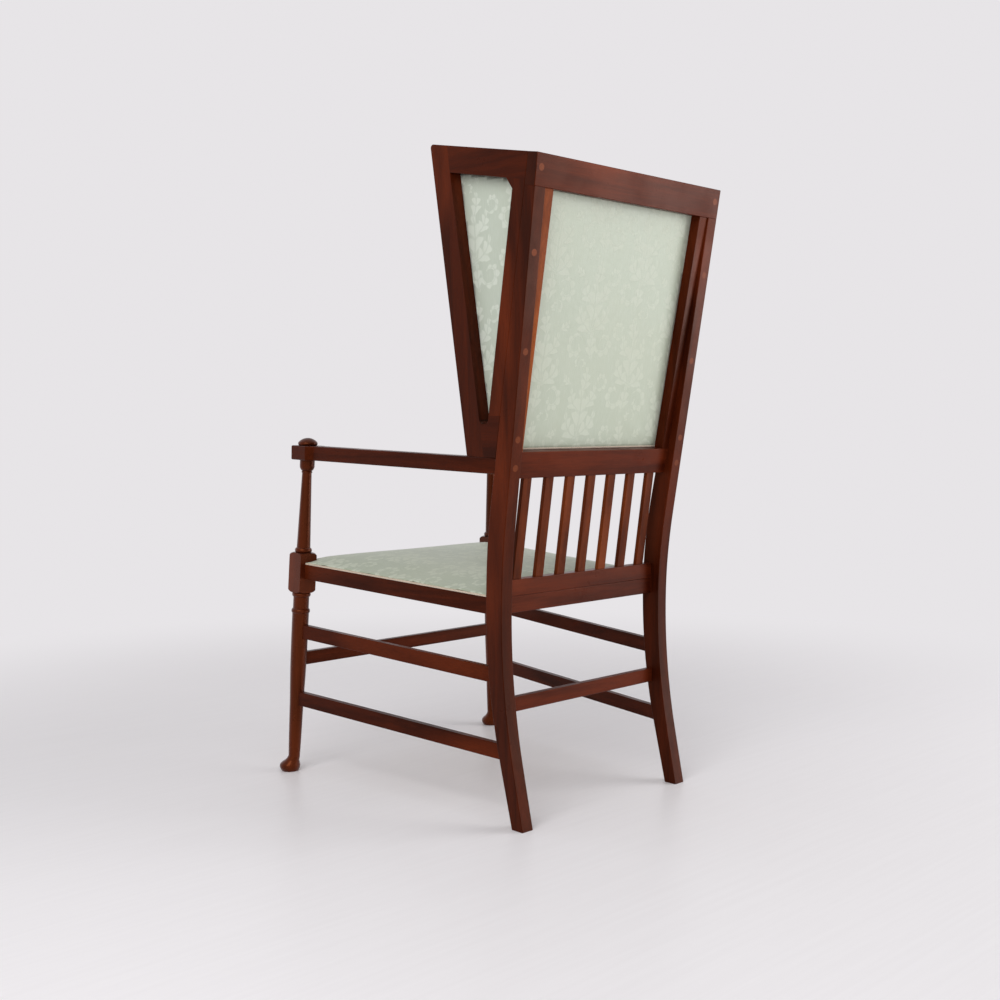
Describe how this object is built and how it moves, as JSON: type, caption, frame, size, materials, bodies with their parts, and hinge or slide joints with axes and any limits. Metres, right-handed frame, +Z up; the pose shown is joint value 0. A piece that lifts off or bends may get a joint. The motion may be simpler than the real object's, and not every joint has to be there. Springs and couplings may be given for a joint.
{
  "type": "wing armchair",
  "caption": "High-backed wooden armchair with splayed side wings, turned front legs, a slatted lower back, and a padded seat, back and wings.",
  "frame": {"origin": "on the floor, under the middle of the chair's bounding box", "axes": "+Z up, the sitter faces -Y, +X is the sitter's left"},
  "size_m": [0.6064, 0.6885, 1.2021],
  "materials": {
    "post": "waxed mahogany",
    "rail": "waxed mahogany",
    "wing_frame": "waxed mahogany",
    "arm": "waxed mahogany",
    "turned_leg": "waxed mahogany",
    "slat": "waxed mahogany, lighter",
    "plug": "light cross-grain wood",
    "inner_block": "plain beech",
    "cover_cloth": "woven cloth with a tone-on-tone leaf pattern",
    "stuffing": "matted filling",
    "hessian": "loose plain weave",
    "webbing": "tight twill tape",
    "braid": "beige woven braid",
    "screw": "bright steel"
  },
  "bodies": {
    "root": {"arm_button_left": "turned_leg", "arm_button_right": "turned_leg", "arm_left": "arm", "arm_right": "arm", "arm_screws": "screw", "back_gimp": "braid", "back_hessian": "hessian", "back_pad": "cover_cloth", "back_slat_1": "slat", "back_slat_2": "slat", "back_slat_3": "slat", "back_slat_4": "slat", "back_slat_5": "slat", "back_slat_6": "slat", "back_slat_7": "slat", "corner_blocks": "inner_block", "crest_rail": "rail", "front_leg_left": "turned_leg", "front_leg_right": "turned_leg", "front_seat_rail": "rail", "front_stretcher": "rail", "lower_stretcher_left": "rail", "lower_stretcher_right": "rail", "mid_rail": "rail", "outside_back_cloth": "cover_cloth", "panel_stile_left": "rail", "panel_stile_right": "rail", "rear_post_left": "post", "rear_post_right": "post", "rear_seat_rail": "rail", "rear_stretcher": "rail", "screw_plugs": "plug", "seat_cover": "cover_cloth", "seat_gimp": "braid", "seat_hessian": "hessian", "seat_stuffing": "stuffing", "seat_webbing": "webbing", "side_seat_rail_left": "rail", "side_seat_rail_right": "rail", "slat_rail": "rail", "upper_stretcher_left": "rail", "upper_stretcher_right": "rail", "wing_bottom_block_left": "wing_frame", "wing_bottom_block_right": "wing_frame", "wing_front_stile_left": "wing_frame", "wing_front_stile_right": "wing_frame", "wing_gimp_left": "braid", "wing_gimp_right": "braid", "wing_outside_cloth_left": "cover_cloth", "wing_outside_cloth_right": "cover_cloth", "wing_pad_left": "cover_cloth", "wing_pad_right": "cover_cloth", "wing_rear_stile_left": "wing_frame", "wing_rear_stile_right": "wing_frame", "wing_screws": "screw", "wing_top_rail_left": "wing_frame", "wing_top_rail_right": "wing_frame"}
  },
  "joints": []
}
